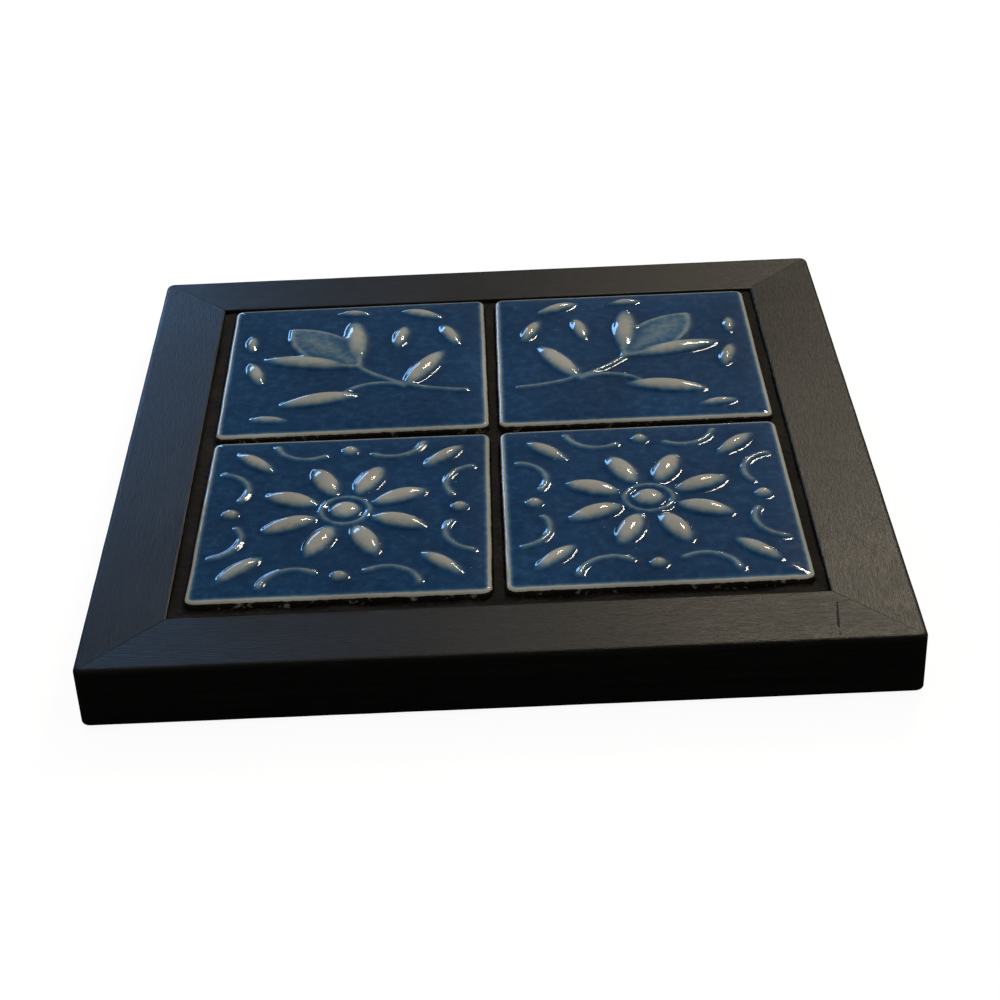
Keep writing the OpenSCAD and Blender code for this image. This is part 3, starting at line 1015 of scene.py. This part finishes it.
def filler_material():
    """Matt dark filler with grit."""
    material, tree, shader = start_material("dark_sanded_filler")
    place = add(tree, "ShaderNodeTexCoord").outputs["Object"]
    grit = add(
        tree, "ShaderNodeTexNoise", None,
        {"Scale": 1 / (0.6 * MM), "Detail": 5.0, "Roughness": 0.75}, Vector=place,
    )
    dust = add(
        tree, "ShaderNodeTexNoise", None, {"Scale": 1 / (9 * MM), "Detail": 2.0}, Vector=place,
    )
    mixed = add(
        tree, "ShaderNodeMix", {"data_type": "FLOAT"}, {0: 0.4}, _2=grit.outputs["Fac"],
        _3=dust.outputs["Fac"],
    )
    earth = add(tree, "ShaderNodeValToRGB", None, None, Fac=mixed.outputs[0])
    ramp_stops(earth, [(0.34, "#080605"), (0.52, "#181410"), (0.68, "#2e2820")])
    tree.links.new(earth.outputs["Color"], shader.inputs["Base Color"])
    shader.inputs["Roughness"].default_value = 0.92
    relief = add(
        tree, "ShaderNodeBump", None, {"Strength": 0.8, "Distance": 0.4 * MM},
        Height=grit.outputs["Fac"],
    )
    tree.links.new(relief.outputs[0], shader.inputs["Normal"])
    return material


bm = bmesh.new()
bm.from_mesh(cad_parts["joint_filler"].data)
bmesh.ops.scale(bm, vec=Vector((1 / MM, 1 / MM, 1 / MM)), verts=bm.verts)
bmesh.ops.remove_doubles(bm, verts=bm.verts, dist=0.01)
cells = int(half_opening / CELL)
for axis in (Vector((1, 0, 0)), Vector((0, 1, 0))):
    for cell in range(-cells, cells + 1):
        everything = bm.verts[:] + bm.edges[:] + bm.faces[:]
        bmesh.ops.bisect_plane(
            bm, geom=everything, plane_co=axis * (cell + 0.37) * CELL, plane_no=axis, dist=0.0001,
        )
for vert in bm.verts:
    if vert.co.z > filler_high.z - 0.01:
        spot = Vector((vert.co.x / CRUMB, vert.co.y / CRUMB, 0))
        slow = Vector((vert.co.x / FILLER_WAVE, vert.co.y / FILLER_WAVE, 4))
        vert.co.z += CRUMB_HEIGHT * (noise.noise(spot) * 0.8 + noise.noise(slow) - 0.25)
filler = ready(
    "joint_filler_crumbly", mesh_from(bm, "joint_filler_crumbly"), filler_material(),
    math.radians(50),
)
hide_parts("joint_filler")

# %% [markdown]
# ## The hidden pieces
#
# The board, the adhesive, the screws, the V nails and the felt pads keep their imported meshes,
# because their shapes are right. They only need their finish: birch plywood with its fine rings,
# grey cement adhesive, bright zinc and pressed felt.

# %% Finish the hidden pieces


def simple_finish(name, stops, grain, roughness, metallic=0.0, stretch=(1, 1, 1), bump=0.0):
    """A finish with one noise for colour and bump; grain is its size in millimetres."""
    material, tree, shader = start_material(name)
    place = add(tree, "ShaderNodeTexCoord").outputs["Object"]
    mapping = add(
        tree, "ShaderNodeMapping", None, {"Scale": [s / (grain * MM) for s in stretch]},
        Vector=place,
    )
    pattern = add(
        tree, "ShaderNodeTexNoise", None, {"Scale": 1.0, "Detail": 4.0, "Roughness": 0.65},
        Vector=mapping.outputs[0],
    )
    colour = add(tree, "ShaderNodeValToRGB", None, None, Fac=pattern.outputs["Fac"])
    ramp_stops(colour, stops)
    tree.links.new(colour.outputs["Color"], shader.inputs["Base Color"])
    shader.inputs["Roughness"].default_value = roughness
    shader.inputs["Metallic"].default_value = metallic
    if bump:
        relief = add(
            tree, "ShaderNodeBump", None, {"Strength": 0.5, "Distance": bump * MM},
            Height=pattern.outputs["Fac"],
        )
        tree.links.new(relief.outputs[0], shader.inputs["Normal"])
    return material


birch = simple_finish(
    "birch_plywood", [(0.35, "#a37f52"), (0.5, "#c09a69"), (0.65, "#d2b182")], 1.2, 0.7, 0,
    (1, 0.03, 1), 0.1,
)
cement = simple_finish(
    "tile_adhesive_cement", [(0.35, "#8d897f"), (0.65, "#b9b5aa")], 1.0, 0.95, bump=0.3,
)
zinc = simple_finish(
    "bright_zinc", [(0.35, "#a9acb0"), (0.65, "#c9ccd0")], 2.0, 0.34, 1.0, bump=0.02,
)
felt = simple_finish(
    "pressed_black_felt", [(0.35, "#131416"), (0.65, "#303336")], 0.35, 1.0, bump=0.2,
)
felt.node_tree.nodes["Principled BSDF"].inputs["Sheen Weight"].default_value = 0.3

FINISHES = {
    "backing_board": birch,
    "bed_": cement,
    "corner_v_nails": zinc,
    "board_screws": zinc,
    "pad_": felt,
}
for node_name, node_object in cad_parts.items():
    for start, finish in FINISHES.items():
        if node_name.startswith(start):
            node_object.data.materials.clear()
            node_object.data.materials.append(finish)
            print(node_name, "has", finish.name)

# %% Colour management
bpy.context.scene.view_settings.view_transform = "Standard"
